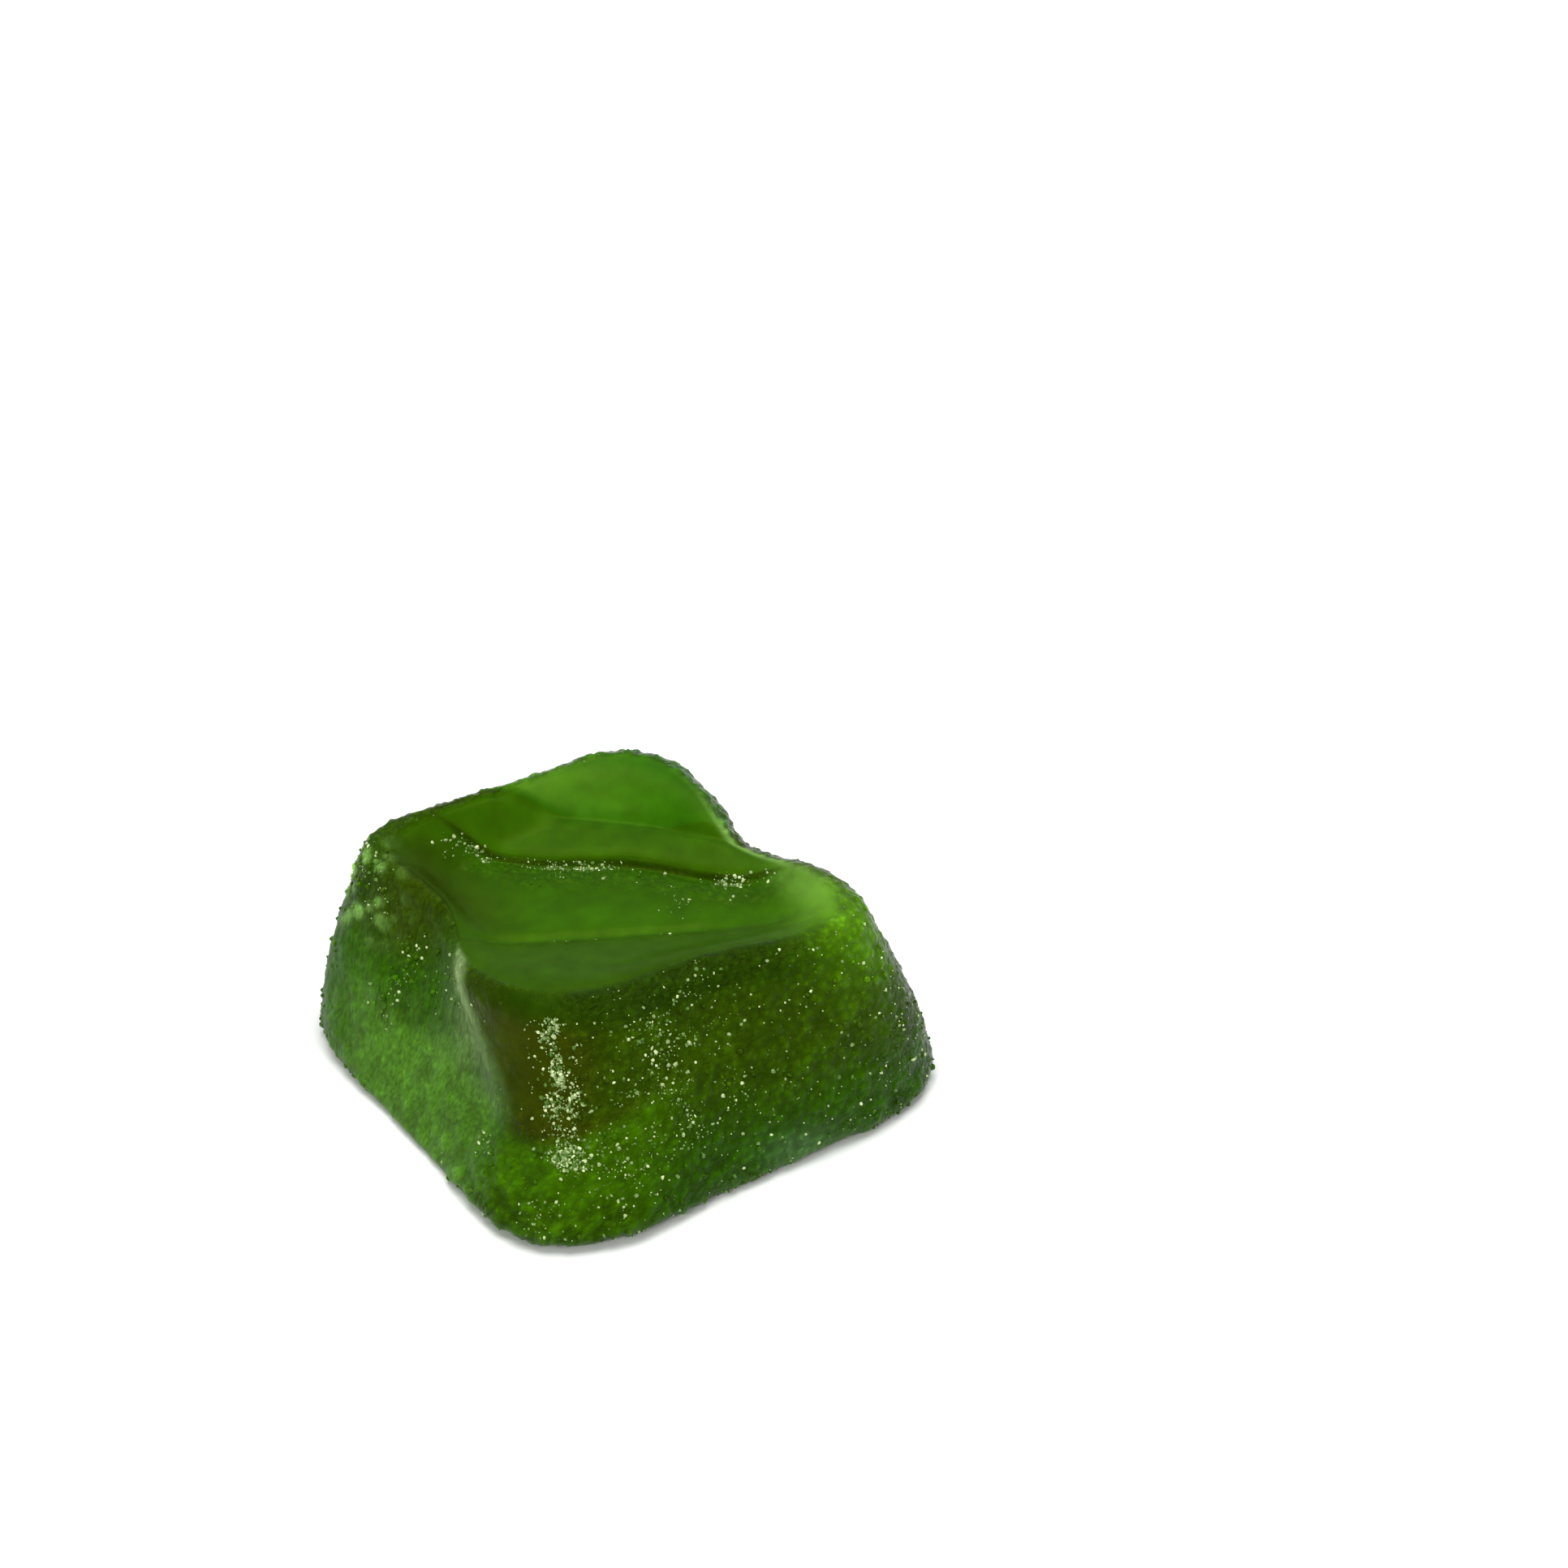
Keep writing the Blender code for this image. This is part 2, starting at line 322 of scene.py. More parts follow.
def skin_grains(points):
    """Round grains and the finer grains between them, each from 0 to 1."""
    return bumps(points, GRAIN_CELL, GRAIN_SEED), bumps(points, FINE_CELL, FINE_SEED)


def skin_clumps(points):
    """Coarse clumps of grains, from 0 to 1."""
    return bumps(points, CLUMP_CELL, CLUMP_SEED)


def zones(points, normal, place):
    """How much of each colour lies at each point, in the order in which the colours cover each other."""
    r = regions(points, normal, place)
    lip_at, crease_at = fold_lines(r["across"])
    from_lip = r["along"] - lip_at
    behind = r["along"] - 4.68 + 1.1 * smooth(-5.5, -10.0, r["across"])
    over = smooth(0.51, 0.56, place)
    blotch = soft_noise(points, 0.9, 41)
    fan = 1.0 + 1.3 * np.clip(7.7 - r["z"], 0.0, None)
    ridge_end = smooth(8.5, 7.7, r["z"]) * (0.55 * smooth(2.4, 5.4, r["z"]) + 0.45 * smooth(5.4, 6.8, r["z"]))
    groove_end = smooth(8.0, 6.0, np.abs(r["across"] + 1.0))
    lumps = smooth(0.05, 0.45, skin_clumps(points))
    return {
        "side": 1 - r["top"],
        "side_low": (1 - r["top"]) * smooth(5.0, 1.5, r["z"] + 0.4 * blotch),
        # Painted shade: the front corner darker and browner where its surface faces the front-left, as light
        # seen through thick gel
        "core": r["front"] * smooth(26, -6, r["turn"] - 6 * blotch) * (1 - r["toe"]),
        # Painted shade: a dark band along the top of the front side, under the rounded rim
        "rim": r["front"] * smooth(6.6, 7.6, r["z"]) * smooth(7.0, 4.0, r["x"]),
        "toe": r["toe"] * (1 - 0.5 * r["left"]),
        "shelf": r["top"] * smooth(-0.05, 0.05, from_lip),
        "lobe": over * smooth(-0.05, 0.05, behind),
        # Painted light: paler patches where light comes through the thin rear lobe
        "lobe_light_patches": over * smooth(0.0, 0.3, behind) * bell(r["across"] + 5.4, 3.0) * (0.75 + 0.25 * blotch),
        "rough_floor": r["top"] * smooth(0.0, -0.15, from_lip) * bell(from_lip + 1.3, 1.3),
        "front_lobe": r["top"] * smooth(0.10, -0.10, r["along"] - crease_at),
        # Painted shade: the top's rounded border over the front side darkened
        "front_border_shade": 0.5 * near(points, (-1.5, -5.5, 8.3), (3.0, 0.9, 0.9)),
        # Painted light: the thin right corner bright yellow-green, as if lit through
        "tip": near(points, (6.5, -7.2, 8.1), (1.9, 2.5, 2.5)),
        # Painted light: a pale band beside the right corner, as if lit through the thin gel at its rim
        "pale_rim_light": near(points, (6.3, -4.2, 8.2), (0.8, 1.9, 0.9)) * 0.4,
        "frost": r["left"],
        # Painted sheen: the lower left side paler and greyer, for soft light from the left reflected off it
        "left_sheen_low": r["left"] * smooth(4.7, 3.0, r["z"] + 0.5 * blotch) * smooth(8.0, 4.0, r["y"]),
        # Painted shade in the hollow of the left side
        "hollow": r["left"] * bell(r["y"] - 4.9, 2.7) * smooth(4.8, 6.8, r["z"] + 0.3 * blotch),
        # Painted shade: the thick left shoulder darkened, with a band towards the dish
        "dark": near(points, (-5.8, 5.2, 8.0), (1.9, 2.4, 2.0)) * (1 - 0.4 * r["left"])
        + 0.6 * near(points, (-4.6, 2.6, 7.7), (1.3, 1.8, 1.0)),
        "granules": near(points, (-7.6, 7.2, 7.2), (1.1, 1.7, 1.9)) * lumps,
        # Painted highlight: the ridge on the left side pale grey, for light from the left reflected at a
        # grazing angle
        "ridge": r["left"] * smooth(1.0, 0.2, r["border"] / fan) * ridge_end,
        "groove": r["top"] * bell(from_lip + 0.13, 0.09) * groove_end * 0.8,
        # Painted highlight: a pale line along the top's edge over the right side
        "edge": bell(place - TOP_EDGE, 0.012) * smooth(3.0, 5.0, r["x"]) * bell(r["y"] + 0.5, 2.6) * 0.6,
        # Painted light: a paler edge round the foot where light comes through the thin gel, broken by a
        # random mottle
        "thin_foot_light": (1 - r["top"]) * (1 - r["left"]) * smooth(1.0, 0.3, r["z"]) * (0.45 + 0.4 * blotch),
        "scuff": near(points, (1.6, -10.0, 1.0), (1.4, 1.4, 0.7)) * 0.4,
    }


def finish(points, normal, place):
    """How rough the skin is: grainy, streaked like the left side, or coarse like the foot's edge."""
    r = regions(points, normal, place)
    from_lip = r["along"] - fold_lines(r["across"])[0]
    strip = r["front"] * smooth(8, -8, r["turn"]) * smooth(3.2, 4.2, r["z"])
    rough_floor = r["top"] * bell(from_lip + 0.9, 0.8) * smooth(0.0, -0.15, from_lip)
    rough_floor = rough_floor * smooth(8.0, 5.0, np.abs(r["across"]))
    corner = near(points, (-7.9, 7.9, 7.4), (1.4, 1.7, 2.0))
    grainy = (1 - r["top"]) * (1 - 0.85 * strip) * (1 - 0.45 * r["left"])
    grainy = np.clip(grainy + 0.5 * rough_floor, 0, 1)
    low = (1 - r["top"]) * smooth(2.4, 0.8, r["z"]) * (0.35 + 0.65 * r["toe"])
    coarse = np.clip(low + corner * 0.7, 0, 1)
    return {"grainy": grainy, "streaked": r["left"], "coarse": coarse}


def gel_relief(points, skin):
    """Height of the skin over its smooth form, in millimetres: grains, upright streaks and soft lumps."""
    grain, fine = skin_grains(points)
    grains = GRAIN_HEIGHT * grain + FINE_HEIGHT * fine
    clumps = CLUMP_HEIGHT * skin_clumps(points) - CLUMP_SINK
    streaks = soft_noise(points, (0.3, 0.3, 1.0), 23) + 0.9 * soft_noise(points, (0.6, 0.6, 1.4), 31)
    lumps = soft_noise(points, 1.7, 5) + 0.5 * soft_noise(points, 0.8, 7)
    relief = skin["grainy"] * grains + skin["coarse"] * clumps
    relief = relief + skin["streaked"] * STREAK_HEIGHT * streaks
    relief = relief + (LUMP_HEIGHT_SMOOTH + LUMP_HEIGHT_GRAINY * skin["grainy"]) * lumps
    return relief * smooth(0.02, 0.5, points[..., 2])


# Meshes and materials


def linear(text):
    """The linear colour of an sRGB hex value."""
    parts = [int(text[i : i + 2], 16) / 255 for i in (1, 3, 5)]
    return [c / 12.92 if c <= 0.04045 else ((c + 0.055) / 1.055) ** 2.4 for c in parts] + [1.0]


def gel_colours(gel, points, normal, place):
    """Colour of the gel at each point: the dish's green, covered by each zone's colour in turn, many of them
    painted light and shade.

    Its light varies with a soft mottle and with upright streaks on the left side, with painted shade in the
    gaps between the grains and clumps and painted light on their tops.
    """
    colour = np.zeros(points.shape[:-1] + (4,)) + np.array(linear(gel.dish))
    for name, weight in zones(points, normal, place).items():
        zone_colour = np.array(linear(getattr(gel, name)))
        colour = colour + (zone_colour - colour) * np.clip(weight, 0, 1)[..., None]
    r = regions(points, normal, place)
    mottle = 0.14 * soft_noise(points, 0.8, 61) + 0.12 * soft_noise(points, 0.35, 67)
    comb = 0.15 * soft_noise(points, (0.3, 0.3, 1.4), 71) + 0.20 * soft_noise(points, (1.0, 1.0, 2.2), 73)
    comb = comb * (0.35 + 0.65 * smooth(6.8, 4.8, r["z"]))
    light = 1 + mottle * (1 - 0.6 * r["top"]) * (1 - r["left"]) + comb * r["left"]
    # Painted shade in the gaps between grains and clumps, and painted light on their tops
    grain, fine = skin_grains(points)
    tops = 0.45 * grain + 0.9 * fine - 0.38
    skin = finish(points, normal, place)
    lumps = skin["coarse"] * (1.1 * skin_clumps(points) - 0.35)
    light = light * (1 + tops * skin["grainy"] + lumps)
    colour[..., :3] = colour[..., :3] * light[..., None]
    return colour


def add_mesh(name, points, faces, attributes=None, even=True):
    """A new object at the origin from points in metres, with numbers or colours for each point."""
    mesh = bpy.data.meshes.new(name)
    mesh.from_pydata(points, [], faces)
    for key, values in (attributes or {}).items():
        kind, field = ("FLOAT_COLOR", "color") if values.ndim == 2 else ("FLOAT", "value")
        layer = mesh.attributes.new(key, kind, "POINT")
        layer.data.foreach_set(field, np.ascontiguousarray(values, np.float32).ravel())
    if even:
        mesh.shade_smooth()
    mesh.update()
    piece = bpy.data.objects.new(name, mesh)
    bpy.context.scene.collection.objects.link(piece)
    return piece


def node(tree, kind, settings=None, links=None, **sockets):
    """Adds a node with its settings, its socket values and the links into its sockets."""
    made = tree.nodes.new(kind)
    for key, value in (settings or {}).items():
        setattr(made, key, value)
    for key, value in sockets.items():
        made.inputs[key.replace("_", " ")].default_value = value
    for key, source in (links or {}).items():
        tree.links.new(source, made.inputs[key])
    return made


def new_material(name):
    """A new material with its tree and its shader."""
    material = bpy.data.materials.new(name)
    material.use_nodes = True
    return material, material.node_tree, material.node_tree.nodes["Principled BSDF"]


def multiply(tree, one, other):
    """The product of two sockets."""
    made = node(tree, "ShaderNodeMath", {"operation": "MULTIPLY"})
    tree.links.new(one, made.inputs[0])
    tree.links.new(other, made.inputs[1])
    return made.outputs["Value"]


def gelatine(gel):
    """Starch-moulded gelatine: wet gloss over deep green gel, dulled by upright streaks on one side."""
    material, tree, shader = new_material("gelatine_green_moulded")
    place = node(tree, "ShaderNodeTexCoord").outputs["Object"]
    colour = node(tree, "ShaderNodeAttribute", {"attribute_name": "gel_colour"}).outputs["Color"]
    grainy = node(tree, "ShaderNodeAttribute", {"attribute_name": "grainy"}).outputs["Fac"]
    streaked = node(tree, "ShaderNodeAttribute", {"attribute_name": "streaked"}).outputs["Fac"]

    # Cloudy patches about 1 mm wide, and streaks about 0.12 mm wide and 0.5 mm tall
    cloud = node(tree, "ShaderNodeTexNoise", links={"Vector": place}, Scale=1000.0, Detail=4.0)
    tall = node(tree, "ShaderNodeMapping", links={"Vector": place}, Scale=(1.0, 1.0, 0.16))
    streak = node(tree, "ShaderNodeTexNoise", links={"Vector": tall.outputs["Vector"]},
                  Scale=8500.0, Detail=3.0)
    cloud_light = node(tree, "ShaderNodeMapRange", links={"Value": cloud.outputs["Fac"]},
                       From_Min=0.3, From_Max=0.7, To_Min=0.84, To_Max=1.16)
    streak_light = node(tree, "ShaderNodeMapRange", links={"Value": streak.outputs["Fac"]},
                        From_Min=0.36, From_Max=0.64, To_Min=0.76, To_Max=1.28)
    both = node(tree, "ShaderNodeMix", {"data_type": "FLOAT"},
                {"Factor": streaked, "B": streak_light.outputs["Result"]}, A=1.0)
    light = multiply(tree, cloud_light.outputs["Result"], both.outputs["Result"])
    tint = node(tree, "ShaderNodeVectorMath", {"operation": "SCALE"}, {"Scale": light, "Vector": colour})
    tree.links.new(tint.outputs["Vector"], shader.inputs["Base Color"])

    # The smooth top is soft, the grainy sides are wet, and the streaked side is dull
    wet = node(tree, "ShaderNodeMapRange", links={"Value": grainy}, To_Min=gel.soft, To_Max=gel.wet)
    rough = node(tree, "ShaderNodeMapRange", links={"Value": streaked, "To Min": wet.outputs["Result"]},
                 To_Max=gel.dull)
    tree.links.new(rough.outputs["Result"], shader.inputs["Roughness"])

    # Grit about 0.24 mm wide on the grainy sides, and the streaks on the left, 0.17 mm high at most
    grit = node(tree, "ShaderNodeTexNoise", links={"Vector": place}, Scale=4200.0, Detail=3.0)
    combed = node(tree, "ShaderNodeMapRange", links={"Value": streak.outputs["Fac"]},
                  To_Min=0.36, To_Max=0.64)
    height = node(tree, "ShaderNodeMix", {"data_type": "FLOAT"},
                  {"Factor": streaked, "A": multiply(tree, grit.outputs["Fac"], grainy),
                   "B": combed.outputs["Result"]})
    bump = node(tree, "ShaderNodeBump", links={"Height": height.outputs["Result"]},
                Strength=1.0, Distance=0.17 * MM)
    tree.links.new(bump.outputs["Normal"], shader.inputs["Normal"])
    shader.inputs["IOR"].default_value = GEL_INDEX
    shader.inputs["Specular IOR Level"].default_value = gel.gloss
    shader.inputs["Specular Tint"].default_value = linear(gel.sheen)
    shader.inputs["Subsurface Weight"].default_value = 0.35
    shader.inputs["Subsurface Radius"].default_value = GEL_SPREAD
    shader.inputs["Subsurface Scale"].default_value = gel.depth
    return material


def set_beads(gel):
    """Beads of set gel on the skin, wet and in the skin's greens, with its painted light and shade."""
    material, tree, shader = new_material("gelatine_bead_green")
    colour = node(tree, "ShaderNodeAttribute", {"attribute_name": "gel_colour"}).outputs["Color"]
    tree.links.new(colour, shader.inputs["Base Color"])
    shader.inputs["Roughness"].default_value = 0.10
    shader.inputs["IOR"].default_value = GEL_INDEX
    shader.inputs["Specular IOR Level"].default_value = 0.5
    shader.inputs["Specular Tint"].default_value = linear(gel.sheen)
    shader.inputs["Subsurface Weight"].default_value = 0.5
    shader.inputs["Subsurface Radius"].default_value = GEL_SPREAD
    shader.inputs["Subsurface Scale"].default_value = gel.depth * 0.4
    return material


def clear_grains():
    """Facetted sugar crystals on the skin, clear to pale and glossy, so that each gives a point of light;
    their pale colour is a painted glint.
    """
    material, tree, shader = new_material("sugar_crystal_clear")
    colour = node(tree, "ShaderNodeAttribute", {"attribute_name": "crystal_glint_colour"}).outputs["Color"]
    tree.links.new(colour, shader.inputs["Base Color"])
    shader.inputs["Roughness"].default_value = 0.12
    shader.inputs["IOR"].default_value = 1.5
    return material


def pale_board(stage):
    """White board, uncoated and matt, so that it shows no reflection of the candy."""
    material, _, shader = new_material("board_white_matt")
    shader.inputs["Base Color"].default_value = linear(stage.floor)
    shader.inputs["Roughness"].default_value = 0.9
    shader.inputs["Specular IOR Level"].default_value = 0.1
    return material


# Settings


def length(label, description, millimetres):
    """A setting that is a length, given in millimetres."""
    return FloatProperty(name=label, description=description, default=millimetres * MM, unit="LENGTH")


def share(label, description, value):
    """A setting from 0 to 1."""
    return FloatProperty(name=label, description=description, default=value, subtype="FACTOR")


def shade(label, description, value):
    """A setting that is a colour, given as an sRGB hex value."""
    return StringProperty(name=label, description=f"{description}, sRGB hex", default=value)


class CandyShape(bpy.types.PropertyGroup):
    """Sizes of the candy."""

    floor_height: length("Dish floor", "Height of the dish in the top", 7.3)
    shelf_height: length("Shelf", "Height of the shelf behind the dish", 8.15)
    lip_width: length("Lip width", "Width over which the shelf drops to the dish", 0.22)
    groove_depth: length("Groove depth", "Depth of the groove under the shelf's lip", 0.16)
    crease_depth: length("Crease depth", "Depth of the fine creases before and behind", 0.12)
    rear_crease_at: length("Rear crease", "Rear crease from the middle, towards the rear lobe", 4.75)
    rim_saddle: length("Right saddle", "How far the rim dips on the right", 0.9)
    left_saddle: length("Left saddle", "How far the rim dips on the left", 1.0)
    left_hollow: length("Left hollow", "Depth of the hollow behind the slanting ridge", 0.45)
    left_waist: length("Left waist", "How far the left side is drawn in above", 1.2)
    right_waist: length("Right waist", "How far the right side is drawn in", 0.95)
    rear_waist: length("Rear waist", "How far the rear side is drawn in", 0.45)
    front_waist: length("Front waist", "How far the front side is drawn in above", 0.7)
    foot: length("Foot", "How far the front foot stands out", 0.65)
    wave: length("Waves", "Height of the soft waves of the sides", 0.08)

    def sizes(self):
        """All sizes in millimetres, by name."""
        return {key: getattr(self, key) / MM for key in self.__annotations__}


class CandyGel(bpy.types.PropertyGroup):
    """Colours, gloss and depth of the gel; many of the colours are painted light and shade."""

    dish: shade("Dish", "Colour of the dish in the top", "#305c01")
    side: shade("Sides", "Colour of the grainy sides", "#2e4a01")
    side_low: shade("Sides below", "Colour of the sides near the base", "#265101")
    # Painted shade of the front corner, as light seen through thick gel
    core: shade("Front corner", "Colour of the thick front corner", "#2e3801")
    # Painted shade along the top of the front side, under the rounded rim
    rim: shade("Front rim", "Colour of the thick rim over the front side", "#1f3c01")
    toe: shade("Foot", "Colour of the flared foot", "#366101")
    shelf: shade("Shelf", "Colour of the shelf", "#2d5701")
    lobe: shade("Rear lobe", "Colour of the rear lobe", "#2c6104")
    # Painted light coming through the thin rear lobe, in patches
    lobe_light_patches: shade("Rear lobe patches", "Colour of pale patches on the rear lobe", "#4f7f1c")
    front_lobe: shade("Front lobe", "Colour of the front lobe", "#2d5001")
    rough_floor: shade("Rough floor", "Colour of the rough floor under the lip", "#2b5401")
    # Painted shade on the top's border over the front side
    front_border_shade: shade("Front edge", "Colour of the top's edge over the front side", "#1d3601")
    # Painted light: the thin right corner lit through the gel
    tip: shade("Right tip", "Colour of the thin right corner", "#548a08")
    # Painted light: pale band beside the right corner, lit through the thin gel
    pale_rim_light: shade("Right rim", "Colour of the thin rim beside the right corner", "#84b848")
    frost: shade("Left side", "Colour of the streaked left side", "#2b5604")
    # Painted sheen on the lower left side: paler and greyer
    left_sheen_low: shade("Left side below", "Colour of the left side near the base", "#47741f")
    # Painted shade in the hollow of the left side
    hollow: shade("Hollow", "Colour of the hollow in the left side", "#2b4202")
    # Painted shade on the thick left shoulder
    dark: shade("Left shoulder", "Colour of the thick left shoulder", "#2a3e02")
    granules: shade("Granules", "Colour of the pale lumps on the left corner", "#80b056")
    # Painted highlight: pale grey reflection on the left side's ridge
    ridge: shade("Ridge", "Colour of the dull ridge on the left side", "#7f9660")
    groove: shade("Groove", "Colour of the shaded groove under the lip", "#203200")
    # Painted highlight along the top's edge over the right side
    edge: shade("Edge", "Colour of the thin edge over the right side", "#90c060")
    # Painted light through the thin gel round the foot, mottled
    thin_foot_light: shade("Foot edge", "Colour of the paler edge round the foot", "#4c7230")
    scuff: shade("Scuff", "Colour of the scuffed spot low on the front", "#64905a")
    sheen: shade("Sheen", "Colour of the skin's reflection", "#c0d840")
    # Painted glints: the palest crystals are coloured pale as points of light, over their real gloss
    grain: shade("Crystals", "Colour of the palest crystals", "#dcecae")
    grain_dim: shade("Dim crystals", "Colour of the clearest crystals", "#47701a")
    depth: length("Scatter depth", "How far light spreads in the gel", 0.3)
    soft: share("Top roughness", "Roughness of the smooth top", 0.36)
    wet: share("Wet roughness", "Roughness of the wet, grainy sides", 0.18)
    dull: share("Dull roughness", "Roughness of the streaked side", 0.45)
    gloss: share("Gloss", "Strength of the skin's reflection", 0.18)


class CandyGrains(bpy.types.PropertyGroup):
    """Beads and crystals on the skin."""

    beads: IntProperty(name="Beads", description="How many beads of gel sit on the skin", default=1300)
    bead_small: length("Smallest bead", "Width of the smallest bead", 0.10)
    bead_large: length("Largest bead", "Width of the largest bead", 0.30)
    crystals: IntProperty(name="Crystals", description="How many crystals sit on the skin", default=5200)
    crystal_small: length("Smallest crystal", "Width of the smallest crystal", 0.05)
    crystal_large: length("Largest crystal", "Width of the largest crystal", 0.18)
    seed: IntProperty(name="Seed", description="Chooses another scatter", default=7)


class CandyStage(bpy.types.PropertyGroup):
    """Camera, lights and floor."""

    azimuth: FloatProperty(name="Azimuth", description="Camera's angle round the candy",
                           default=math.radians(-35.25), subtype="ANGLE")
    elevation: FloatProperty(name="Elevation", description="Camera's angle over the floor",
                             default=math.radians(36.0), subtype="ANGLE")
    distance: FloatProperty(name="Distance", description="Camera to the candy's base", default=0.17889,
                            unit="LENGTH")
    lens: FloatProperty(name="Lens", description="Focal length", default=100.0, unit="CAMERA")
    floor: shade("Floor", "Colour of the board", "#f7f8f7")


# Pieces


def droplets(points):
    """Where the larger, brighter drops lie: on the left corner and in a band down the left side."""
    corner = near(points, (-7.7, 7.3, 7.9), (0.9, 1.4, 1.3))
    band = near(points, (-8.0, 3.7, 5.0), (1.0, 0.6, 1.6))
    return corner + band + 0.6 * near(points, (-7.4, 1.6, 5.6), (1.0, 0.8, 0.9))


def bead_wish(points, normal, place):
    """How thickly beads lie: on the foot's edge, where the drops are, and thinly over the sides."""
    r = regions(points, normal, place)
    skin = finish(points, normal, place)
    patches = smooth(-0.3, 0.5, soft_noise(points, 2.0, 3))
    wish = 0.07 * skin["grainy"] * (0.25 + 0.75 * patches) * (1 - 0.8 * r["left"]) * smooth(8.4, 6.4, r["z"])
    wish = wish + 0.6 * (1 - r["top"]) * smooth(0.9, 0.3, r["z"]) * patches
    return wish + 0.3 * droplets(points) + 0.1 * near(points, (-8.5, 9.0, 3.0), (1.5, 1.5, 3.5))


def crystal_wish(points, normal, place):
    """How thickly crystals lie: down the front corner, over the foot, on the front and under the lip.

    Each cluster is a bell round a line or a spot, broken up by slow patches and quick specks of noise.
    """
    r = regions(points, normal, place)
    lip_at, crease_at = fold_lines(r["across"])
    from_lip = r["along"] - lip_at
    patches = smooth(-0.15, 0.55, soft_noise(points, 1.3, 13))
    below = 6.8 - r["z"]
    strip = bell(r["x"] + 6.08 + 0.29 * below, 0.72) * bell(r["y"] + 4.53 + 0.59 * below, 0.72)
    strip = strip * smooth(3.1, 3.7, r["z"]) * smooth(7.5, 6.9, r["z"])
    front = r["front"] * smooth(5, 30, r["turn"])
    others = (1 - r["top"]) * (1 - r["left"]) * (1 - r["front"])
    specks = smooth(-0.35, 0.45, soft_noise(points, (0.4, 0.4, 0.7), 19))
    strip = strip * (0.08 + 0.92 * specks) * (0.5 + 0.5 * patches)
    glints = 3.4 * strip * (0.4 + 0.6 * smooth(4.0, 5.4, r["z"]))
    glints = glints + 5.0 * near(points, (-7.3, -7.4, 3.0), (0.6, 0.6, 0.3)) * (0.5 + 0.5 * specks)
    wish = 0.35 * near(points, (-5.4, -8.5, 3.1), (1.8, 1.0, 0.7))
    wish = wish + 0.42 * front * near(points, (-0.4, -7.0, 6.2), (4.2, 3.0, 1.8)) * patches
    wish = wish + 0.42 * front * near(points, (-3.4, -8.4, 3.7), (2.2, 2.0, 1.5)) * patches
    wish = wish + 0.04 * front + 0.16 * r["toe"] * patches
    wish = wish + 0.03 * others * patches * smooth(0.5, 3.0, r["z"])
    clusters = bell(r["across"] + 6.4, 0.6) + bell(r["across"] + 2.0, 1.6) + bell(r["across"] - 4.3, 1.1)
    wish = wish + 4.0 * r["top"] * bell(from_lip + 0.32, 0.17) * clusters * (0.3 + 0.7 * patches)
    wish = wish + 0.10 * r["top"] * bell(from_lip + 0.8, 0.5) * patches
    wish = wish + 0.35 * near(points, (2.1, -1.2, 7.3), (0.6, 0.6, 0.6))
    wish = wish + 0.25 * r["top"] * bell(r["along"] - crease_at, 0.10) * bell(r["across"] + 0.5, 1.6)
    wish = wish + 0.5 * droplets(points) * (0.3 + 0.7 * patches)
    wish = wish + 0.15 * near(points, (8.2, -9.0, 4.6), (0.8, 0.8, 1.0))
    return glints + 0.65 * wish


def scatter(form, dice, count, wish, width, tries_each):
    """Random spots on the skin in proportion to the wish, with normals, places and random widths.

    A spot is kept where a random number up to the largest wish falls below the wish there times its area.
    The widths are mostly small: the smallest, and the cube of a random number of the way to the largest.
    """
    theta = dice.uniform(0, 2 * np.pi, count * tries_each)
    place = dice.uniform(0.12, 0.97, count * tries_each)
    points = candy_surface(form, theta, place)
    normal, area = surface_normals(form, theta, place)
    wanted = area * np.clip(wish(points, normal, place), 0, None)
    kept = np.flatnonzero(dice.uniform(0, wanted.max(), len(wanted)) < wanted)[:count]
    small, large = width
    widths = small + (large - small) * dice.uniform(0, 1, len(kept)) ** 3
    points, normal, place = points[kept], normal[kept], place[kept]
    lifted = points + normal * gel_relief(points, finish(points, normal, place))[:, None]
    return lifted, normal, place, widths


def bead_mesh(dice, spots, normal, widths, uneven):
    """Points and faces of small uneven beads, each a stack of three six-sided rings between two ends.

    A bead is one unit wide, is stretched by its width and by random shares, and stands along the normal.
    """
    n = BEAD_RING
    ring = np.linspace(0, 2 * np.pi, n, endpoint=False)
    rings = [np.stack([r * np.cos(ring + t), r * np.sin(ring + t), np.full(n, h)], -1)
             for r, h, t in ((0.42, -0.30, 0.0), (0.50, 0.05, 0.5), (0.30, 0.36, 0.0))]
    bead = np.concatenate([*rings, [[0, 0, -0.45], [0, 0, 0.50]]])
    here = np.arange(n)
    after = (here + 1) % n
    quads = np.concatenate([np.stack([a + here, a + after, a + n + after, a + n + here], -1) for a in (0, n)])
    under = np.stack([after, here, np.full(n, 3 * n)], -1)
    over = np.stack([2 * n + here, 2 * n + after, np.full(n, 3 * n + 1)], -1)
    count = len(spots)
    shapes = bead[None] * (1 + dice.uniform(-uneven, uneven, (count, BEAD_POINTS, 3)))
    shapes = shapes * widths[:, None, None] * dice.uniform(0.7, 1.3, (count, 1, 3))
    side = np.cross(normal, dice.normal(size=normal.shape))
    side = side / np.linalg.norm(side, axis=-1, keepdims=True)
    frames = np.stack([side, np.cross(normal, side), normal], axis=1)
    placed = np.einsum("gvk,gkj->gvj", shapes, frames) + spots[:, None, :]
    placed[..., 2] = np.maximum(placed[..., 2], 0.005)
    offsets = np.arange(count)[:, None, None] * BEAD_POINTS
    tris = np.concatenate([under, over])
    faces = (quads[None] + offsets).reshape(-1, 4).tolist() + (tris[None] + offsets).reshape(-1, 3).tolist()
    return placed.reshape(-1, 3) * MM, faces


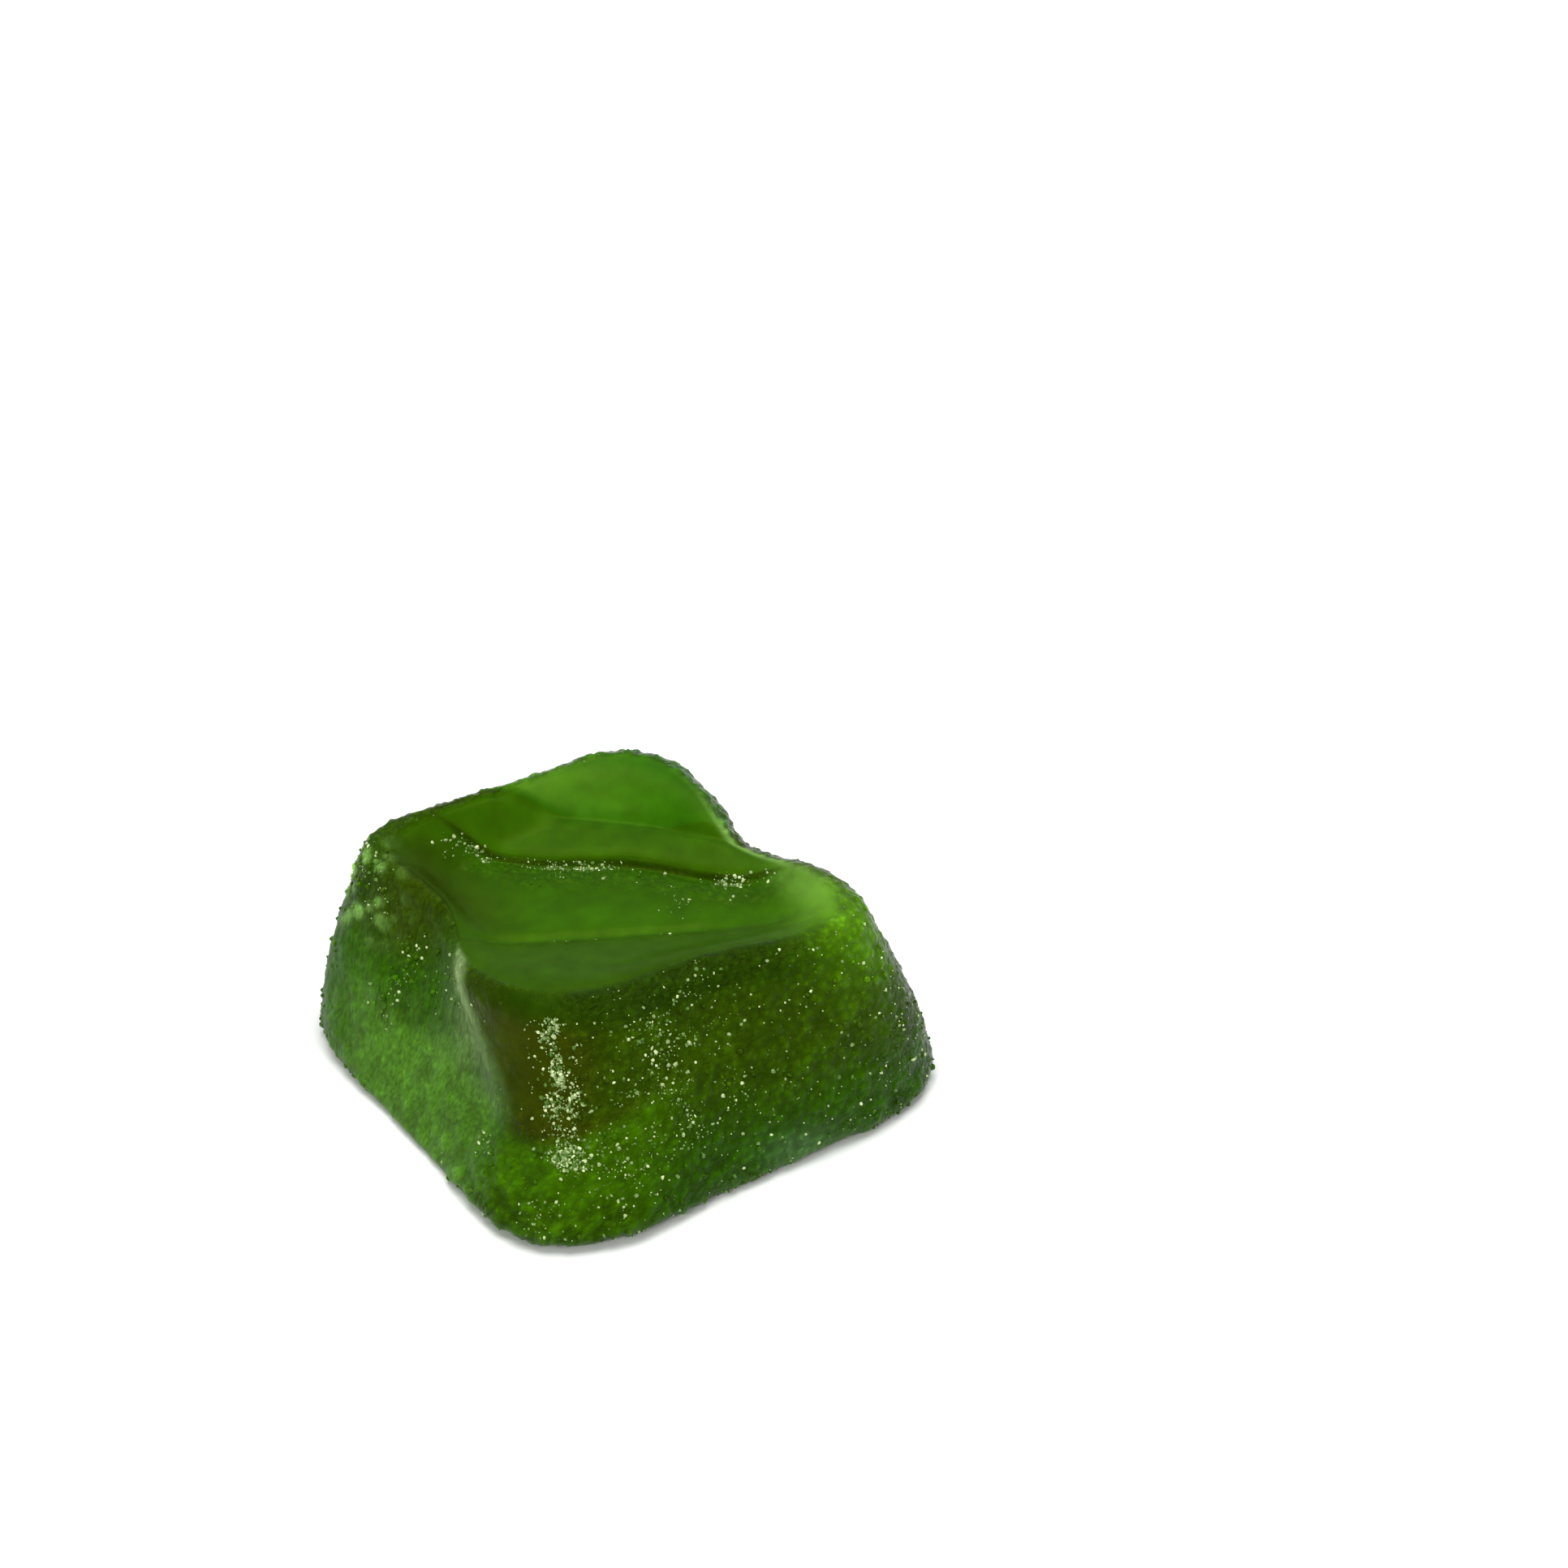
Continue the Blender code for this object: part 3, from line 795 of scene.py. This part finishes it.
class CANDY_OT_body(bpy.types.Operator):
    """Makes the candy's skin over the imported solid."""

    bl_idname = "candy.body"
    bl_label = "Candy body"

    def execute(self, context):
        scene = context.scene
        starts = np.cumsum((0,) + ROW_COUNTS)
        place = np.interp(np.arange(starts[-1] + 1), starts, ROW_PLACES)[1:-1]
        theta = np.linspace(0, 2 * np.pi, COLUMNS, endpoint=False)
        theta, place = np.meshgrid(theta, place)
        points = candy_surface(scene.candy_shape.sizes(), theta, place)
        normal = grid_normals(points)
        skin = finish(points, normal, place)
        colour = gel_colours(scene.candy_gel, points, normal, place)
        points = points + normal * gel_relief(points, skin)[..., None]
        points[..., 2] = np.maximum(points[..., 2], 0.0)
        rows, columns = place.shape
        poles = np.array([[points[0, :, 0].mean(), points[0, :, 1].mean(), 0.0], points[-1].mean(axis=0)])
        index = np.arange(rows * columns).reshape(rows, columns)
        after = np.roll(index, -1, axis=1)
        quads = np.stack([index[:-1], after[:-1], after[1:], index[1:]], axis=-1).reshape(-1, 4)
        under = np.stack([after[0], index[0], np.full(columns, rows * columns)], axis=-1)
        over = np.stack([index[-1], after[-1], np.full(columns, rows * columns + 1)], axis=-1)
        everything = np.concatenate([points.reshape(-1, 3), poles]) * MM
        faces = quads.tolist() + under.tolist() + over.tolist()
        values = {key: np.concatenate([v.ravel(), v[0, :1], v[-1, :1]]) for key, v in skin.items()}
        values["gel_colour"] = np.concatenate([colour.reshape(-1, 4), colour[0, :1], colour[-1, :1]])
        piece = add_mesh("candy_body", everything, faces, values)
        piece.data.materials.append(gelatine(scene.candy_gel))
        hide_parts("gummy")
        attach(piece, "root")
        return {"FINISHED"}


class CANDY_OT_beads(bpy.types.Operator):
    """Sets beads of gel half into the skin."""

    bl_idname = "candy.beads"
    bl_label = "Candy beads"

    def execute(self, context):
        scene = context.scene
        grains = scene.candy_grains
        dice = np.random.default_rng(grains.seed)
        width = (grains.bead_small / MM, grains.bead_large / MM)
        form = scene.candy_shape.sizes()
        spots, normal, place, widths = scatter(form, dice, grains.beads, bead_wish, width, 30)
        drop = droplets(spots)
        colour = gel_colours(scene.candy_gel, spots, normal, place)
        # The drops are brightened, partly their own paler green and partly painted highlight; the other beads
        # vary at random
        colour[:, :3] = colour[:, :3] * (dice.uniform(0.75, 1.45, len(spots)) + 0.8 * drop)[:, None]
        points, faces = bead_mesh(dice, spots, normal, widths * (1 + 0.5 * drop), 0.18)
        piece = add_mesh("candy_beads", points, faces, {"gel_colour": np.repeat(colour, BEAD_POINTS, axis=0)})
        piece.data.materials.append(set_beads(scene.candy_gel))
        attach(piece, "root")
        return {"FINISHED"}


class CANDY_OT_crystals(bpy.types.Operator):
    """Sets pale facetted crystals half into the skin."""

    bl_idname = "candy.crystals"
    bl_label = "Candy crystals"

    def execute(self, context):
        scene = context.scene
        grains = scene.candy_grains
        dice = np.random.default_rng(grains.seed + 1)
        width = (grains.crystal_small / MM, grains.crystal_large / MM)
        form = scene.candy_shape.sizes()
        spots, normal, _, widths = scatter(form, dice, grains.crystals, crystal_wish, width, 160)
        points, faces = bead_mesh(dice, spots, normal, widths, 0.30)
        # Crystals range from clear green to pale; the pale ones are painted glints
        dim, pale = (np.array(linear(text)) for text in (scene.candy_gel.grain_dim, scene.candy_gel.grain))
        colour = dim + (pale - dim) * (dice.uniform(0, 1, len(spots)) ** 2.2)[:, None]
        colour = np.repeat(colour, BEAD_POINTS, axis=0)
        piece = add_mesh("candy_crystals", points, faces, {"crystal_glint_colour": colour}, even=False)
        piece.data.materials.append(clear_grains())
        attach(piece, "root")
        return {"FINISHED"}


class CANDY_OT_stage(bpy.types.Operator):
    """Sets the floor, the lights and the camera."""

    bl_idname = "candy.stage"
    bl_label = "Candy stage"

    def execute(self, context):
        scene = context.scene
        stage = scene.candy_stage
        ring = np.linspace(0, 2 * np.pi, 64, endpoint=False)
        disc = np.stack([3.0 * np.cos(ring), 3.0 * np.sin(ring), np.full(64, -1e-5)], axis=-1)
        floor = add_mesh("floor", disc, [list(range(64))])
        floor.data.materials.append(pale_board(stage))

        az, el = stage.azimuth, stage.elevation
        back = Vector((math.sin(az) * math.cos(el), -math.cos(az) * math.cos(el), math.sin(el)))
        right = Vector((math.cos(az), math.sin(az), 0.0))
        up = back.cross(right)
        # The middle of the base stands left of and below the middle of the picture
        pixels = PICTURE_WIDTH * stage.lens / SENSOR_WIDTH
        half = PICTURE_WIDTH / 2
        aim = right * (BASE_PIXEL[0] - half) / pixels - up * (BASE_PIXEL[1] - half) / pixels - back
        data = bpy.data.cameras.new("camera")
        data.lens = stage.lens
        data.sensor_width = SENSOR_WIDTH
        data.clip_start = 0.01
        camera = bpy.data.objects.new("camera", data)
        scene.collection.objects.link(camera)
        turned = Matrix((right, up, back)).transposed().to_4x4()
        camera.matrix_world = Matrix.Translation(Vector(BASE_MIDDLE) - aim * stage.distance) @ turned
        scene.camera = camera

        # Each lamp's place in metres, its width in metres, its power in watts and its colour
        lights = (
            ("soft_over", (0.02, 0.02, 0.55), 0.40, 2.6, (1.0, 1.0, 1.0)),
            ("key_left", (-0.38, -0.22, 0.30), 0.06, 0.55, (1.0, 1.0, 0.97)),
            ("key_front", (0.02, -0.40, 0.34), 0.06, 0.35, (1.0, 1.0, 0.97)),
            ("soft_left", (-0.46, 0.05, 0.26), 0.28, 0.15, (0.97, 1.0, 0.99)),
        )
        for name, spot, size, power, colour in lights:
            lamp = bpy.data.lights.new(name, "AREA")
            lamp.size = size
            lamp.energy = power
            lamp.color = colour
            holder = bpy.data.objects.new(name, lamp)
            towards = Vector(spot).to_track_quat("Z", "Y").to_matrix().to_4x4()
            holder.matrix_world = Matrix.Translation(spot) @ towards
            scene.collection.objects.link(holder)
        world = bpy.data.worlds.new("studio")
        world.use_nodes = True
        background = world.node_tree.nodes["Background"]
        background.inputs["Color"].default_value = (1, 1, 1, 1)
        background.inputs["Strength"].default_value = 0.42
        scene.world = world
        scene.view_settings.view_transform = "Standard"
        return {"FINISHED"}


class CANDY_PT_panel(bpy.types.Panel):
    """Lists the candy's pieces."""

    bl_idname = "CANDY_PT_panel"
    bl_label = "Gummy candy"
    bl_space_type = "VIEW_3D"
    bl_region_type = "UI"
    bl_category = "Candy"

    def draw(self, context):
        for group in SETTINGS:
            box = self.layout.box()
            settings = getattr(context.scene, group)
            for key in settings.__annotations__:
                box.prop(settings, key)
        for piece in PIECES:
            self.layout.operator(piece.bl_idname)


SETTINGS = {"candy_shape": CandyShape, "candy_gel": CandyGel, "candy_grains": CandyGrains,
            "candy_stage": CandyStage}
PIECES = (CANDY_OT_body, CANDY_OT_beads, CANDY_OT_crystals, CANDY_OT_stage)


def register():
    """Adds the settings, the operators and the panel."""
    for group in SETTINGS.values():
        bpy.utils.register_class(group)
    for name, group in SETTINGS.items():
        setattr(bpy.types.Scene, name, bpy.props.PointerProperty(type=group))
    for piece in PIECES:
        bpy.utils.register_class(piece)
    bpy.utils.register_class(CANDY_PT_panel)


def unregister():
    """Takes them out again, in the other order."""
    bpy.utils.unregister_class(CANDY_PT_panel)
    for piece in reversed(PIECES):
        bpy.utils.unregister_class(piece)
    for name, group in SETTINGS.items():
        delattr(bpy.types.Scene, name)
        bpy.utils.unregister_class(group)


def main():
    """Makes every piece and the stage."""
    register()
    bpy.ops.candy.body()
    bpy.ops.candy.beads()
    bpy.ops.candy.crystals()
    bpy.ops.candy.stage()


if __name__ == "__main__":
    main()
